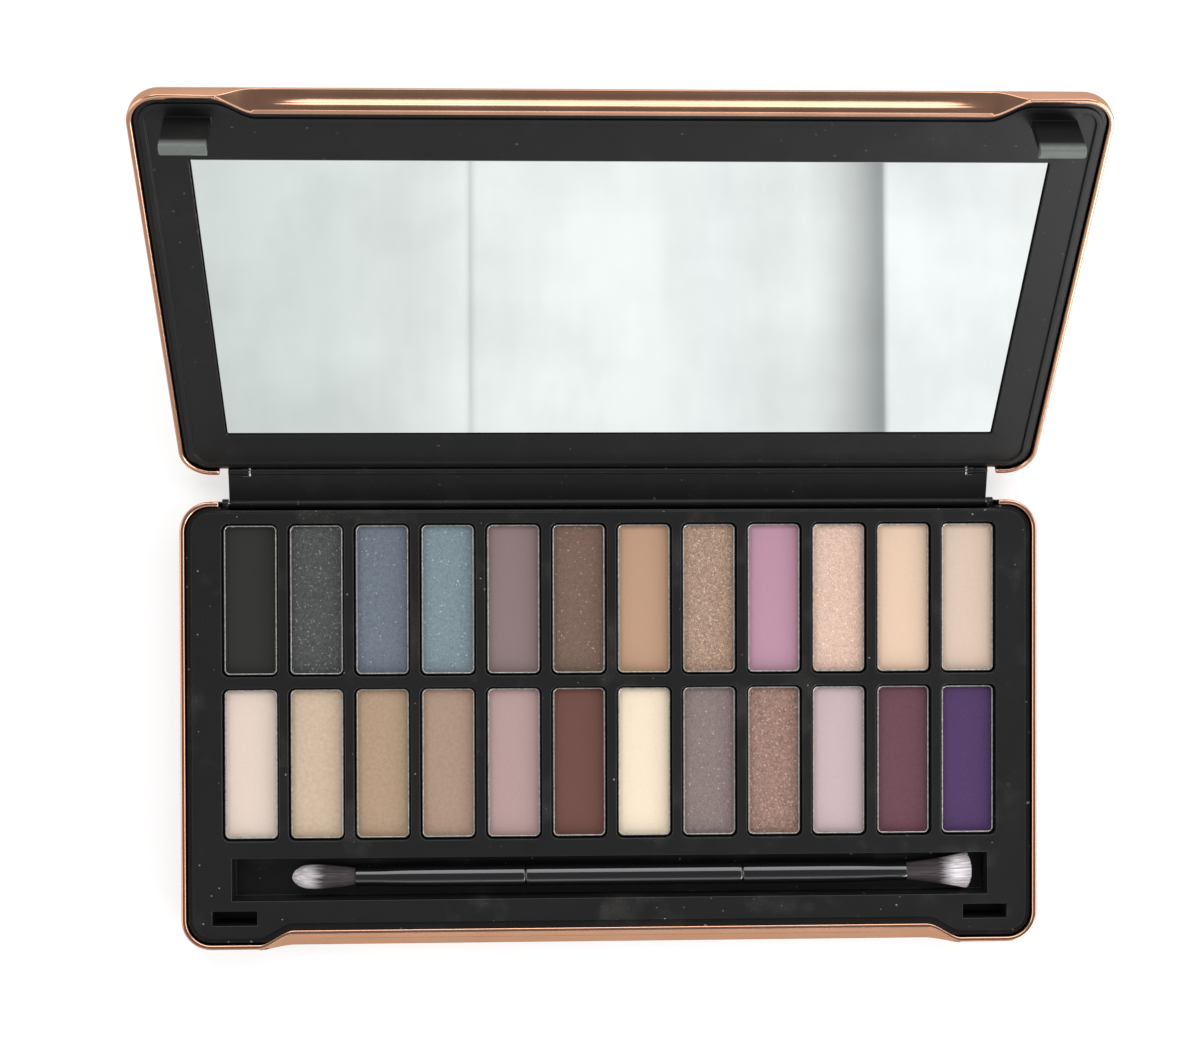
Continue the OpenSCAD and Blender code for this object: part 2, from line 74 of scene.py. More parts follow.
class Finish:
    """A material with its shader, and short ways to add the nodes that feed it."""

    def __init__(self, name, colour, roughness, metallic=0.0, **sockets):
        self.material = bpy.data.materials.new(name)
        self.material.use_nodes = True
        self.tree = self.material.node_tree
        self.shader = self.tree.nodes["Principled BSDF"]
        self.shader.inputs["Base Color"].default_value = colour
        self.shader.inputs["Roughness"].default_value = roughness
        self.shader.inputs["Metallic"].default_value = metallic
        for socket, value in sockets.items():
            self.shader.inputs[socket.replace("_", " ")].default_value = value
        self.place = self.node("ShaderNodeTexCoord").outputs["Object"]

    def node(self, kind, **inputs):
        made = self.tree.nodes.new(kind)
        for socket, value in inputs.items():
            self.feed(made.inputs[socket.replace("_", " ")], value)
        return made

    def feed(self, socket, value):
        if isinstance(value, bpy.types.NodeSocket):
            self.tree.links.new(value, socket)
        else:
            socket.default_value = value

    def grain(self, scale, detail=2.0, roughness=0.5, stretch=None):
        """Noise at a scale given in waves a metre; stretch squeezes it along an axis."""
        place = self.place
        if stretch:
            place = self.node("ShaderNodeMapping", Vector=place, Scale=stretch).outputs[0]
        return self.node("ShaderNodeTexNoise", Vector=place, Scale=scale, Detail=detail,
                         Roughness=roughness).outputs["Fac"]

    def ramp(self, value, *stops):
        """Colours or plain numbers at places from 0 to 1."""
        made = self.node("ShaderNodeValToRGB", Fac=value)
        line = made.color_ramp
        while len(line.elements) < len(stops):
            line.elements.new(0.5)
        for element, (place, colour) in zip(line.elements, stops):
            element.position = place
            element.color = colour if isinstance(colour, tuple) else (colour,) * 3 + (1.0,)
        return made.outputs["Color"]

    def spread(self, value, low, high, start=0.0, end=1.0):
        """Maps start to end onto low to high."""
        made = self.node("ShaderNodeMapRange", Value=value)
        for socket, number in (("From Min", start), ("From Max", end),
                               ("To Min", low), ("To Max", high)):
            made.inputs[socket].default_value = number
        return made.outputs[0]

    def maths(self, kind, a, b):
        made = self.tree.nodes.new("ShaderNodeMath")
        made.operation = kind
        self.feed(made.inputs[0], a)
        self.feed(made.inputs[1], b)
        return made.outputs[0]

    def times(self, a, b):
        return self.maths("MULTIPLY", a, b)

    def plus(self, a, b):
        return self.maths("ADD", a, b)

    def mix(self, share, a, b, kind="MIX"):
        made = self.tree.nodes.new("ShaderNodeMix")
        made.data_type = "RGBA"
        made.blend_type = kind
        self.feed(made.inputs[0], share)
        self.feed(made.inputs[6], a)
        self.feed(made.inputs[7], b)
        return made.outputs[2]

    def colour(self, value):
        self.feed(self.shader.inputs["Base Color"], value)

    def gloss(self, value):
        self.feed(self.shader.inputs["Roughness"], value)

    def relief(self, height, strength, depth):
        bump = self.node("ShaderNodeBump", Height=height, Strength=strength, Distance=depth)
        self.feed(self.shader.inputs["Normal"], bump.outputs["Normal"])


def rose_gold():
    """Satin rose-gold lacquer on tin plate: fine mottle, slightly rubbed in places."""
    made = Finish("rose_gold_lacquer", (0.50, 0.265, 0.17, 1), 0.2, 1.0, Coat_Weight=0.3,
                  Coat_Roughness=0.12, Specular_Tint=(0.72, 0.55, 0.42, 1))
    mottle = made.grain(90, 3)
    fine = made.grain(2600, 2)
    made.colour(made.ramp(mottle, (0.3, (0.475, 0.248, 0.158, 1)),
                          (0.7, (0.525, 0.282, 0.183, 1))))
    made.gloss(made.plus(made.spread(mottle, 0.16, 0.24), made.spread(fine, -0.02, 0.02)))
    made.relief(fine, 0.08, 0.00002)
    return made.material


def black_moulding(name, tone, rough, dust, shine, grey_band=None):
    """Black moulded plastic with a fine spark texture and a little stray powder on it.

    The last argument, if given, is a direction and two distances along it, between which the
    plastic turns grey in a mottle.
    """
    black = linear(tone, tone, tone)
    made = Finish(name, black, rough, Specular_IOR_Level=shine)
    texture = made.grain(5200, 2)
    cloud = made.ramp(made.grain(75, 3, 0.6), (0.55, 0.0), (0.8, 1.0))
    specks = made.ramp(made.grain(2300, 1), (0.69, 0.0), (0.76, 1.0))
    powdered = made.times(cloud, made.times(specks, 0.6))
    veil = made.times(cloud, 0.06)
    stray = made.ramp(made.grain(1100, 0), (0.84, 0.0), (0.86, 0.6))
    share = made.times(made.plus(made.plus(powdered, veil), stray), dust)
    shade = made.mix(share, black, linear(150, 144, 138))
    if grey_band:
        facing, start, full = grey_band
        height = made.node("ShaderNodeVectorMath")
        height.operation = "DOT_PRODUCT"
        made.feed(height.inputs[0], made.place)
        made.feed(height.inputs[1], facing)
        # Greyer towards the far end of the direction, broken up by a mottle
        greyed = made.ramp(made.spread(height.outputs["Value"], 0, 1, start, full),
                         (0.0, 0.0), (1.0, 0.42))
        rubbed = made.spread(made.grain(700, 3, 0.6), 0.75, 1.1)
        shade = made.mix(made.times(greyed, rubbed), shade, linear(134, 140, 136))
    made.colour(shade)
    made.gloss(made.spread(made.grain(160, 3), rough - 0.05, rough + 0.08))
    made.relief(texture, 0.22, 0.00004)
    return made.material


def black_lacquer():
    """High-gloss black lacquer of the brush."""
    made = Finish("black_lacquer", linear(14, 14, 16), 0.09, Specular_IOR_Level=0.5,
                  Coat_Weight=0.5, Coat_Roughness=0.04)
    smudge = made.grain(260, 3)
    made.gloss(made.spread(smudge, 0.07, 0.17))
    made.relief(made.grain(900, 2), 0.05, 0.00003)
    return made.material


def pan_metal():
    """Drawn tin-plated steel of the pans."""
    made = Finish("pan_metal", (0.66, 0.64, 0.61, 1), 0.34, 1.0)
    wear = made.grain(1400, 3)
    made.colour(made.ramp(wear, (0.3, (0.30, 0.285, 0.265, 1)), (0.7, (0.62, 0.60, 0.56, 1))))
    made.gloss(made.spread(wear, 0.26, 0.46))
    made.relief(wear, 0.15, 0.00003)
    return made.material


def pin_steel():
    made = Finish("pin_steel", (0.5, 0.5, 0.5, 1), 0.3, 1.0)
    made.gloss(made.spread(made.grain(3000, 2, stretch=(0.1, 1, 1)), 0.22, 0.4))
    return made.material


def silvered_glass():
    """Mirror glass with faint wipe marks."""
    made = Finish("silvered_glass", (0.90, 0.925, 0.915, 1), 0.015, 1.0)
    wipe = made.ramp(made.grain(26, 4, 0.6, stretch=(1, 0.35, 0.35)), (0.5, 0.0), (0.8, 1.0))
    made.gloss(made.spread(wipe, 0.012, 0.05))
    return made.material


def foam():
    made = Finish("pad_foam", linear(70, 70, 68), 0.9)
    cells = made.node("ShaderNodeTexVoronoi", Vector=made.place, Scale=2500.0).outputs["Distance"]
    made.colour(made.ramp(cells, (0.0, linear(46, 46, 44)), (0.8, linear(84, 84, 82))))
    made.relief(cells, 0.4, 0.0001)
    return made.material


def bristle(name, tip_x, root_x, white_share, ragged, pale):
    """Two-tone filament: white at the tips, dark plum towards the ferrule, with a ragged border."""
    made = Finish(name, linear(200, 190, 195), 0.6, Sheen_Weight=0.08)
    along = made.node("ShaderNodeSeparateXYZ", Vector=made.place).outputs[0]
    share = made.spread(along, 0.0, 1.0, tip_x, root_x)
    strands = made.grain(2600, 2, stretch=(0.05, 1, 1))
    border = made.plus(share, made.spread(strands, -ragged, ragged, 0.25, 0.75))
    dark = made.ramp(strands, (0.3, linear(30, 23, 27)), (0.7, linear(66, 55, 60)))
    light = made.ramp(strands, (0.3, linear(pale - 66, pale - 74, pale - 69)),
                      (0.65, linear(pale, pale - 4, pale - 2)))
    made.colour(made.mix(made.ramp(border, (white_share - 0.08, 0.0), (white_share + 0.12, 1.0)),
                         light, dark))
    return made.material


# Each powder finish: its roughness, how deep its mottle is, and the strength of its relief
POWDER_FINISHES = {
    "matte": (0.92, 0.035, 0.18),
    "satin": (0.62, 0.13, 0.25),
    "shimmer": (0.5, 0.15, 0.3),
    "glitter": (0.55, 0.22, 0.5),
}
SURFACE_LIGHT = 0.010    # what a powder's sheen adds to its colour, taken off beforehand


def pressed_powder(name, colour, finish, seed):
    """A pressed powder. Matt and satin ones are even; the others hold mica flakes."""
    rough, depth, relief = POWDER_FINISHES[finish]
    colour = tuple(max(0.003, c - SURFACE_LIGHT) for c in colour[:3]) + (1.0,)
    made = Finish(name, colour, rough, Specular_IOR_Level=0.2)
    made.place = made.node("ShaderNodeMapping", Vector=made.place,
                           Location=(seed * 0.37, seed * 0.11, 0)).outputs[0]
    cake = made.grain(1100, 4, 0.65)
    fine = made.grain(5200, 3, 0.7)
    dark = tuple(c * (1 - depth) for c in colour[:3]) + (1.0,)
    light = tuple(min(1.0, c * (1 + depth)) for c in colour[:3]) + (1.0,)
    tone = made.ramp(made.plus(made.times(cake, 0.5), made.times(fine, 0.5)),
                     (0.36, dark), (0.64, light))
    if finish in ("shimmer", "glitter"):
        waves, swing, least = (3600.0, 0.34, 0.955) if finish == "glitter" else (5200.0, 0.2, 0.985)
        mica = made.node("ShaderNodeTexVoronoi", Vector=made.place, Scale=waves)
        shade = made.node("ShaderNodeSeparateColor", Color=mica.outputs["Color"])
        tone = made.mix(1.0, tone, made.ramp(shade.outputs[1], (0.0, 1 - swing), (1.0, 1 + swing)),
                        "MULTIPLY")
        # A few flakes glint. Their glint is painted: a lighter colour is mixed into the powder's,
        # besides some real metal sheen and a gloss of their own
        flakes = made.node("ShaderNodeTexVoronoi", Vector=made.place, Scale=3100.0)
        pick = made.node("ShaderNodeSeparateColor", Color=flakes.outputs["Color"])
        lit = made.ramp(pick.outputs[0], (least, 0.0), (least + 0.01, 1.0))
        spark = tuple(min(1.0, c * 1.7 + 0.12) for c in colour[:3]) + (1.0,)
        tone = made.mix(made.times(lit, 0.8), tone, spark)
        made.feed(made.shader.inputs["Metallic"], made.times(lit, 0.4))
        made.gloss(made.spread(lit, rough, 0.3))
    made.colour(tone)
    made.relief(made.plus(made.times(cake, 0.6), made.times(fine, 0.4)),
                relief, 0.0001)
    return made.material


# ---- Shapes ----

def show(name, bm, material, body, stands_for, crease=34, even=False):
    """Turns a bmesh into a finished piece that rides on a body in place of CAD nodes.

    Edges past the crease, in degrees, stay sharp; even keeps flat faces flat beside rounded edges.
    """
    mesh = bpy.data.meshes.new(name)
    bm.to_mesh(mesh)
    bm.free()
    mesh.materials.append(material)
    for face in mesh.polygons:
        face.material_index = 0
        face.use_smooth = True
    mesh.set_sharp_from_angle(angle=math.radians(crease))
    made = bpy.data.objects.new(name, mesh)
    bpy.context.scene.collection.objects.link(made)
    if even:
        shading = made.modifiers.new("even_faces", "WEIGHTED_NORMAL")
        shading.keep_sharp = True
        shading.weight = 100
    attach(made, body)
    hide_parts(*stands_for)


KNUCKLE_REACH = 2.6 * MM


def round_over(bm, edges, width, segments):
    bmesh.ops.bevel(bm, geom=edges, offset=width, offset_type="OFFSET", segments=segments,
                    profile=0.5, affect="EDGES", clamp_overlap=False, material=-1)


def rounded_copy(node, width, segments=2, crease=28, rim=None, roll=0.0, sharp_near=None):
    """A copy of a CAD node whose creases are rounded over.

    The rim, the edges that lie furthest along a direction, can have a wider roll. The small
    knuckles near a hinge axis, given as its y and z, keep their creases.
    """
    bm = bmesh.new()
    bm.from_mesh(nodes[node].data)
    bmesh.ops.remove_doubles(bm, verts=bm.verts, dist=0.003 * MM)
    bmesh.ops.dissolve_limit(bm, angle_limit=math.radians(0.6), verts=bm.verts, edges=bm.edges,
                             use_dissolve_boundaries=False)
    bmesh.ops.connect_verts_concave(bm, faces=bm.faces)

    def on_knuckle(vert):
        return math.hypot(vert.co.y - sharp_near[0], vert.co.z - sharp_near[1]) < KNUCKLE_REACH

    def creased():
        return [edge for edge in bm.edges if len(edge.link_faces) == 2
                and edge.calc_face_angle() > math.radians(crease)
                and not (sharp_near and any(on_knuckle(vert) for vert in edge.verts))]

    if rim:
        rim = Vector(rim)
        top = max(vert.co.dot(rim) for vert in bm.verts) - 0.01 * MM
        round_over(bm, [edge for edge in creased()
                        if all(vert.co.dot(rim) < top for vert in edge.verts)], width, segments)
        round_over(bm, [edge for edge in creased()
                        if all(vert.co.dot(rim) > top for vert in edge.verts)], roll, 4)
    else:
        round_over(bm, creased(), width, segments)
    return bm


RECESS_FADE = 11          # millimetres over which a recess grows from each of its ends
GROOVE_AT = 0.34          # the groove's place, as a share of the way down the recess's wall
GROOVE_HALF = 0.025       # half its width, as such a share
GROOVE_DEPTH = 0.07 * MM


def pressed_recess(bm, facing, rim, depth, bulge):
    """Shapes the flat wall of a finger recess, which looks the way of facing.

    It gets a rolled edge that bulges out, a fine groove under it and a shallow hollow below.
    """
    facing = Vector(facing).normalized()
    across = facing.cross(Vector((1, 0, 0)))
    if across.dot(Vector(rim)) > 0:
        across = -across
    wall = max((face for face in bm.faces if face.normal.dot(facing) > 0.999),
               key=lambda face: face.calc_area())
    foot = wall.calc_center_median()
    reach = [(vert.co - foot).dot(across) for vert in wall.verts]
    start, length = min(reach), max(reach) - min(reach)
    half = max(abs(vert.co.x) for vert in wall.verts)

    def spot(vert):
        away = vert.co - foot
        return (away.dot(across) - start) / length, away.dot(facing)

    def near(out):
        return -0.9 * MM < out < 0.1 * MM

    def skin():
        faces = [face for face in bm.faces if all(
            -0.1 < spot(vert)[0] < 1.1 and near(spot(vert)[1]) for vert in face.verts)]
        edges = {edge for face in faces for edge in face.edges}
        return faces + list(edges) + list({vert for face in faces for vert in face.verts})

    levels = [GROOVE_AT * k / 6 for k in range(1, 6)]
    levels += [GROOVE_AT - GROOVE_HALF, GROOVE_AT, GROOVE_AT + GROOVE_HALF]
    levels += [GROOVE_AT + (1 - GROOVE_AT) * k / 8 for k in range(1, 8)]
    for level in levels:
        bmesh.ops.bisect_plane(bm, geom=skin(), plane_co=foot + across * (start + length * level),
                               plane_no=across)
    for side in (-1, 1):
        for inset in range(1, RECESS_FADE + 1, 2):
            bmesh.ops.bisect_plane(bm, geom=skin(), plane_co=(side * (half - inset * MM), 0, 0),
                                   plane_no=(1, 0, 0))
    for vert in bm.verts:
        level, out = spot(vert)
        if not (0 < level < 1 and near(out) and abs(vert.co.x) < half):
            continue
        ease = min(1.0, (half - abs(vert.co.x)) / (RECESS_FADE * MM))
        ease = ease * ease * (3 - 2 * ease)
        if level < GROOVE_AT:
            share = level / GROOVE_AT
            move = bulge * 4 * share * (1 - share)
        else:
            share = (level - GROOVE_AT) / (1 - GROOVE_AT)
            move = -depth * 4 * share * (1 - share)
        if abs(level - GROOVE_AT) < 0.01:
            move -= GROOVE_DEPTH
        vert.co += facing * (move * ease)
    return bm


LUG_MIDDLE = 85.0 * MM
LUG_HALF = 0.9 * MM
LUG_REACH = 1.3 * MM


def fuller_lugs(bm):
    """Fills the frame's two hinge lugs out towards the sides of their notches in the spine."""
    for vert in bm.verts:
        away = Vector((0, vert.co.y - LID_AXIS[0], vert.co.z - LID_AXIS[1]))
        side = abs(vert.co.x) - LUG_MIDDLE
        if abs(side) < LUG_HALF and away.length < LUG_REACH:
            vert.co += 0.2 * away
            vert.co.x += math.copysign(0.28 * side, vert.co.x)
    return bm


def turned(points, centre_y, centre_z, steps=56):
    """A closed round shape on an axis along X, from (place along it, radius) points in metres."""
    bm = bmesh.new()
    line = [bm.verts.new((x, centre_y, centre_z + radius)) for x, radius in points]
    edges = [bm.edges.new(pair) for pair in zip(line, line[1:])]
    bmesh.ops.spin(bm, geom=line + edges, cent=(0, centre_y, centre_z), axis=(1, 0, 0),
                   angle=math.tau, steps=steps, use_merge=True, use_duplicate=False)
    bmesh.ops.remove_doubles(bm, verts=bm.verts, dist=0.002 * MM)
    bmesh.ops.recalc_face_normals(bm, faces=bm.faces)
    return bm


CAKE_CORNER = 0.95 * MM
CAKE_COLUMNS, CAKE_ROWS = 24, 64
BORDER_WIDTH = 0.9 * MM
BORDER_FALL = 0.26 * MM
DISH_DEPTH = 0.10 * MM
CAKE_SINK = 0.02 * MM


def powder_cake(low, high, seed):
    """A pressed cake: rounded border, shallow dish, and the faint unevenness of the press."""
    width, length = high.x - low.x, high.y - low.y
    centre = Vector(((low.x + high.x) / 2, (low.y + high.y) / 2, 0))
    bm = bmesh.new()
    bmesh.ops.create_grid(bm, x_segments=CAKE_COLUMNS, y_segments=CAKE_ROWS, size=0.5)
    half = Vector((width / 2, length / 2))
    for vert in bm.verts:
        x, y = vert.co.x * width, vert.co.y * length
        out_x = abs(x) - (half.x - CAKE_CORNER)
        out_y = abs(y) - (half.y - CAKE_CORNER)
        if out_x > 0 and out_y > 0:
            pull = max(out_x, out_y) / math.hypot(out_x, out_y)
            x = math.copysign(half.x - CAKE_CORNER + out_x * pull, x)
            y = math.copysign(half.y - CAKE_CORNER + out_y * pull, y)
        edge = min(half.x - abs(x), half.y - abs(y))
        border = max(0.0, 1 - edge / BORDER_WIDTH)
        dish = DISH_DEPTH * (1 - (x / half.x) ** 2) * (1 - (y / half.y) ** 2)
        place = Vector((x * 160 + seed * 7.3, y * 160, seed * 1.7))
        press = 0.035 * MM * noise.noise(place) + 0.012 * MM * noise.noise(place * 4.1)
        z = high.z - CAKE_SINK - BORDER_FALL * border ** 2 - dish + press
        vert.co = Vector((centre.x + x, centre.y + y, z))
    rim = [edge for edge in bm.edges if edge.is_boundary]
    for piece in bmesh.ops.extrude_edge_only(bm, edges=rim)["geom"]:
        if isinstance(piece, bmesh.types.BMVert):
            piece.co.z = low.z
    bmesh.ops.holes_fill(bm, edges=[edge for edge in bm.edges if edge.is_boundary], sides=0)
    bmesh.ops.recalc_face_normals(bm, faces=bm.faces)
    return bm


TIP_TAPER = 0.55


def strands(paths, thickness):
    """Fine filaments along paths, each tapered towards its tip, as one mesh."""
    curve = bpy.data.curves.new("strands", "CURVE")
    curve.dimensions = "3D"
    curve.bevel_depth = thickness
    curve.bevel_resolution = 0
    curve.use_fill_caps = True
    for path in paths:
        line = curve.splines.new("POLY")
        line.points.add(len(path) - 1)
        for index, (point, spot) in enumerate(zip(line.points, path)):
            point.co = (spot.x, spot.y, spot.z, 1)
            point.radius = 1.0 - TIP_TAPER * (index / (len(path) - 1)) ** 2
    holder = bpy.data.objects.new("strands", curve)
    bpy.context.scene.collection.objects.link(holder)
    bpy.context.view_layer.update()
    settled = holder.evaluated_get(bpy.context.evaluated_depsgraph_get())
    mesh = bpy.data.meshes.new_from_object(settled)
    bpy.data.objects.remove(holder)
    return mesh


# ---- The case ----

SHEET_EDGE = 0.12 * MM
RIM_ROLL = 0.42 * MM
MOULDED_EDGE = 0.2 * MM
SPINE_EDGE = 0.05 * MM
PAN_EDGE = 0.09 * MM
GLASS_EDGE = 0.15 * MM

# The ways that the sloping walls of the two finger recesses look
BASE_RECESS = (0, -5.5, 3.4)
LID_RECESS = (0, -0.0462, 0.9989)

# How far below the frame's highest point the hooks start to turn grey, and where they are greyest
GREYING_START = 2.6 * MM
GREYING_FULL = 0.9 * MM

gold = rose_gold()
tray_black = black_moulding("tray_black", 18, 0.33, 0.9, 0.27)
hook_height = max(vert.co.dot(Vector(LID_RIM)) for vert in nodes["mirror_frame"].data.vertices)
frame_black = black_moulding("frame_black", 17, 0.34, 0.2, 0.20,
                             (LID_RIM, hook_height - GREYING_START, hook_height - GREYING_FULL))
spine_black = black_moulding("spine_black", 13, 0.38, 0.3, 0.22)
lacquer = black_lacquer()
tinned = pan_metal()
steel = pin_steel()

base_sheet = rounded_copy("tin_base", SHEET_EDGE, crease=33, rim=UP, roll=RIM_ROLL)
show("base_shell", pressed_recess(base_sheet, BASE_RECESS, UP, 0.1 * MM, 0.05 * MM), gold,
     "base", ["tin_base"], even=True)
lid_sheet = rounded_copy("tin_lid", SHEET_EDGE, crease=50, rim=LID_RIM, roll=RIM_ROLL)
show("lid_shell", pressed_recess(lid_sheet, LID_RECESS, LID_RIM, 0.30 * MM, 0.10 * MM), gold,
     "lid", ["tin_lid"], crease=52, even=True)
show("pan_tray", rounded_copy("base_tray", MOULDED_EDGE, 3, sharp_near=BASE_AXIS), tray_black,
     "base", ["base_tray"], even=True)
surround = rounded_copy("mirror_frame", MOULDED_EDGE, 3, sharp_near=LID_AXIS)
show("mirror_surround", fuller_lugs(surround), frame_black, "lid", ["mirror_frame"],
     even=True)
show("spine_strip", rounded_copy("hinge_spine", SPINE_EDGE), spine_black, "spine",
     ["hinge_spine"], even=True)
for row in ("back", "front"):
    show(f"pans_{row}", rounded_copy(f"pans_{row}_row", PAN_EDGE), tinned, "base",
         [f"pans_{row}_row"], even=True)
show("mirror_sheet", rounded_copy("mirror_glass", GLASS_EDGE), silvered_glass(), "lid",
     ["mirror_glass"], crease=8)
for node, material in (("base_hinge_pins", steel), ("lid_hinge_pins", steel),
                       ("mirror_pad", foam())):
    nodes[node].data.materials.clear()
    nodes[node].data.materials.append(material)


# ---- Powders ----

# Each pan's colour and finish, from the left
BACK_ROW = [
    ((58, 58, 56), "matte"), ((85, 86, 86), "glitter"), ((114, 123, 134), "shimmer"),
    ((130, 147, 153), "shimmer"), ((143, 123, 124), "matte"), ((125, 102, 91), "shimmer"),
    ((192, 156, 130), "matte"), ((173, 145, 126), "glitter"), ((190, 148, 166), "matte"),
    ((226, 193, 175), "shimmer"), ((232, 202, 178), "matte"), ((218, 195, 177), "matte"),
]
FRONT_ROW = [
    ((230, 211, 198), "matte"), ((208, 186, 161), "satin"), ((182, 155, 130), "satin"),
    ((175, 148, 129), "satin"), ((185, 157, 154), "matte"), ((116, 83, 76), "matte"),
    ((247, 229, 204), "matte"), ((141, 126, 123), "shimmer"), ((158, 127, 115), "glitter"),
    ((203, 181, 184), "matte"), ((110, 75, 85), "satin"), ((84, 62, 101), "satin"),
]

# Each row's pans, its share of the light that a colour is seen under, and its first seed
ROWS = (("back", BACK_ROW, 0.63, 1), ("front", FRONT_ROW, 0.61, 20))
for row, shades, light, first_seed in ROWS:
    for index, (shade, finish) in enumerate(shades):
        place = f"{row}_{index + 1:02d}"
        node = f"powder_{place}"
        seed = first_seed + index
        show(f"cake_{place}", powder_cake(*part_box(node), seed),
             pressed_powder(node, linear(*shade, light), finish, seed),
             "base", [node], crease=60)


# ---- Brush ----

grip_low, grip_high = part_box("brush_handle")
domed_low, domed_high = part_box("ferrule_domed")
flat_low, flat_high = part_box("ferrule_flat")
tuft_low, tuft_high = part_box("tuft_domed")
fan_low, fan_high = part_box("tuft_flat")
axis_y = (grip_low.y + grip_high.y) / 2
axis_z = (grip_low.z + grip_high.z) / 2
grip_r = (grip_high.z - grip_low.z) / 2


def brush_grip():
    left, right = domed_high.x, flat_low.x
    return turned([
        (left, 0), (left, grip_r - 0.30 * MM), (left + 0.08 * MM, grip_r - 0.16 * MM),
        (left + 0.35 * MM, grip_r - 0.02 * MM), (left + 1.2 * MM, grip_r),
        (right - 1.2 * MM, grip_r), (right - 0.35 * MM, grip_r - 0.02 * MM),
        (right - 0.08 * MM, grip_r - 0.16 * MM), (right, grip_r - 0.30 * MM), (right, 0),
    ], axis_y, axis_z)


def ferrule_shell(mouth, seam):
    """A tube from its rolled mouth to its seam with the grip."""
    turn = 1 if seam > mouth else -1
    length = abs(seam - mouth)
    neck = grip_r - 0.32 * MM

    def at(place):
        return mouth + turn * place

    points = [
        (at(0.6 * MM), neck - 0.42 * MM), (at(0), neck - 0.36 * MM), (at(0), neck - 0.08 * MM),
        (at(0.25 * MM), neck), (at(4.5 * MM), neck - 0.05 * MM),
        (at(0.3 * length), grip_r - 0.06 * MM), (at(0.45 * length), grip_r),
        (at(length - 1.0 * MM), grip_r), (at(length - 0.3 * MM), grip_r - 0.02 * MM),
        (at(length - 0.06 * MM), grip_r - 0.14 * MM), (at(length), grip_r - 0.30 * MM),
        (at(length), grip_r - 0.9 * MM), (at(0.6 * MM), grip_r - 0.9 * MM),
    ]
    return turned(points + points[:1], axis_y, axis_z)


show("grip", brush_grip(), lacquer, "brush", ["brush_handle"], crease=50)
show("ferrule_left", ferrule_shell(domed_low.x, domed_high.x), lacquer, "brush",
     ["ferrule_domed"], crease=50)
show("ferrule_right", ferrule_shell(flat_high.x, flat_low.x), lacquer, "brush",
     ["ferrule_flat"], crease=50)

random.seed(11)
MOUTH_R = grip_r - 0.75 * MM
CORE_R = MOUTH_R - 0.2 * MM
CORE_ROOT = 3 * MM
DOMED_FILAMENTS = 1700
FLAT_FILAMENTS = 1900


def disc_spot():
    """A place on a disc of radius 1, and how far out it lies."""
    reach, angle = math.sqrt(random.random()), random.random() * math.tau
    return reach * math.cos(angle), reach * math.sin(angle), reach


def domed_tuft():
    """Filaments that swell out of the ferrule and close to a dome."""
    mouth = domed_low.x
    length = mouth - tuft_low.x
    belly = (tuft_high.z - tuft_low.z) / 2 - 0.06 * MM
    paths = []
    for _ in range(DOMED_FILAMENTS):
        u, v, reach = disc_spot()
        own = length * (0.73 + 0.27 * math.sqrt(1 - reach ** 2)) - random.random() * 0.4 * MM
        path = []
        for step in range(8):
            share = step / 7
            along = own * share
            swell = min(1.0, along / (0.5 * length)) ** 0.8
            close = max(0.0, along / length - 0.5) / 0.5
            radius = (MOUTH_R + (belly - MOUTH_R) * swell) * (1 - 0.12 * close ** 3)
            path.append(Vector((mouth - along, axis_y + u * radius, axis_z + v * radius)))
        paths.append(path)
    return strands(paths, 0.075 * MM)


def flat_tuft():
    """Filaments that fan out flat, with a slightly bowed, ragged end."""
    mouth = flat_high.x
    length = fan_high.x - mouth - 0.1 * MM
    half_width = (fan_high.y - fan_low.y) / 2 - 0.1 * MM
    paths = []
    for _ in range(FLAT_FILAMENTS):
        u, v, reach = disc_spot()
        own = length * (1 - 0.07 * u * u) - random.random() ** 2 * 1.1 * MM
        path = []
        for step in range(7):
            share = step / 6
            along = own * share
            open_y = MOUTH_R + (half_width - MOUTH_R) * (along / length) ** 1.15
            open_z = MOUTH_R + (0.95 * MM - MOUTH_R) * (along / length)
            wave = 0.05 * MM * math.sin(share * 5 + u * 40)
            path.append(Vector((mouth + along, axis_y + u * open_y + wave, axis_z + v * open_z)))
        paths.append(path)
    return strands(paths, 0.07 * MM)


def tuft(name, filaments, core, material, stands_for):
    """Filaments around a plain core, which fills the tuft where nothing shows."""
    bm = bmesh.new()
    bm.from_mesh(filaments)
    bpy.data.meshes.remove(filaments)
    inner = bpy.data.meshes.new("core")
    core.to_mesh(inner)
    core.free()
    bm.from_mesh(inner)
    bpy.data.meshes.remove(inner)
    show(name, bm, material, "brush", [stands_for], crease=80)


def domed_core():
    mouth, tip = domed_low.x, tuft_low.x + 2.2 * MM
    span = mouth - tip
    belly = (tuft_high.z - tuft_low.z) / 2 - 0.5 * MM
    points = [(tip, 0), (tip + 0.05 * span, 0.5 * belly), (tip + 0.15 * span, 0.8 * belly),
              (tip + 0.3 * span, 0.96 * belly), (tip + 0.6 * span, 0.95 * belly),
              (mouth, CORE_R), (mouth + CORE_ROOT, CORE_R), (mouth + CORE_ROOT, 0)]
    return turned(points, axis_y, axis_z, 24)


def flat_core():
    mouth, tip = flat_high.x, fan_high.x - 2.6 * MM
    points = [(mouth - CORE_ROOT, 0), (mouth - CORE_ROOT, CORE_R), (mouth, CORE_R),
              (mouth + 0.5 * (tip - mouth), CORE_R - 0.05 * MM), (tip, CORE_R - 0.1 * MM), (tip, 0)]
    bm = turned(points, axis_y, axis_z, 24)
    half_width = (fan_high.y - fan_low.y) / 2 - 0.9 * MM
    for vert in bm.verts:
        share = max(0.0, (vert.co.x - mouth) / (tip - mouth))
        vert.co.y = axis_y + (vert.co.y - axis_y) * (1 + share * (half_width / MOUTH_R - 1))
        vert.co.z = axis_z + (vert.co.z - axis_z) * (1 - 0.6 * share)
    return bm


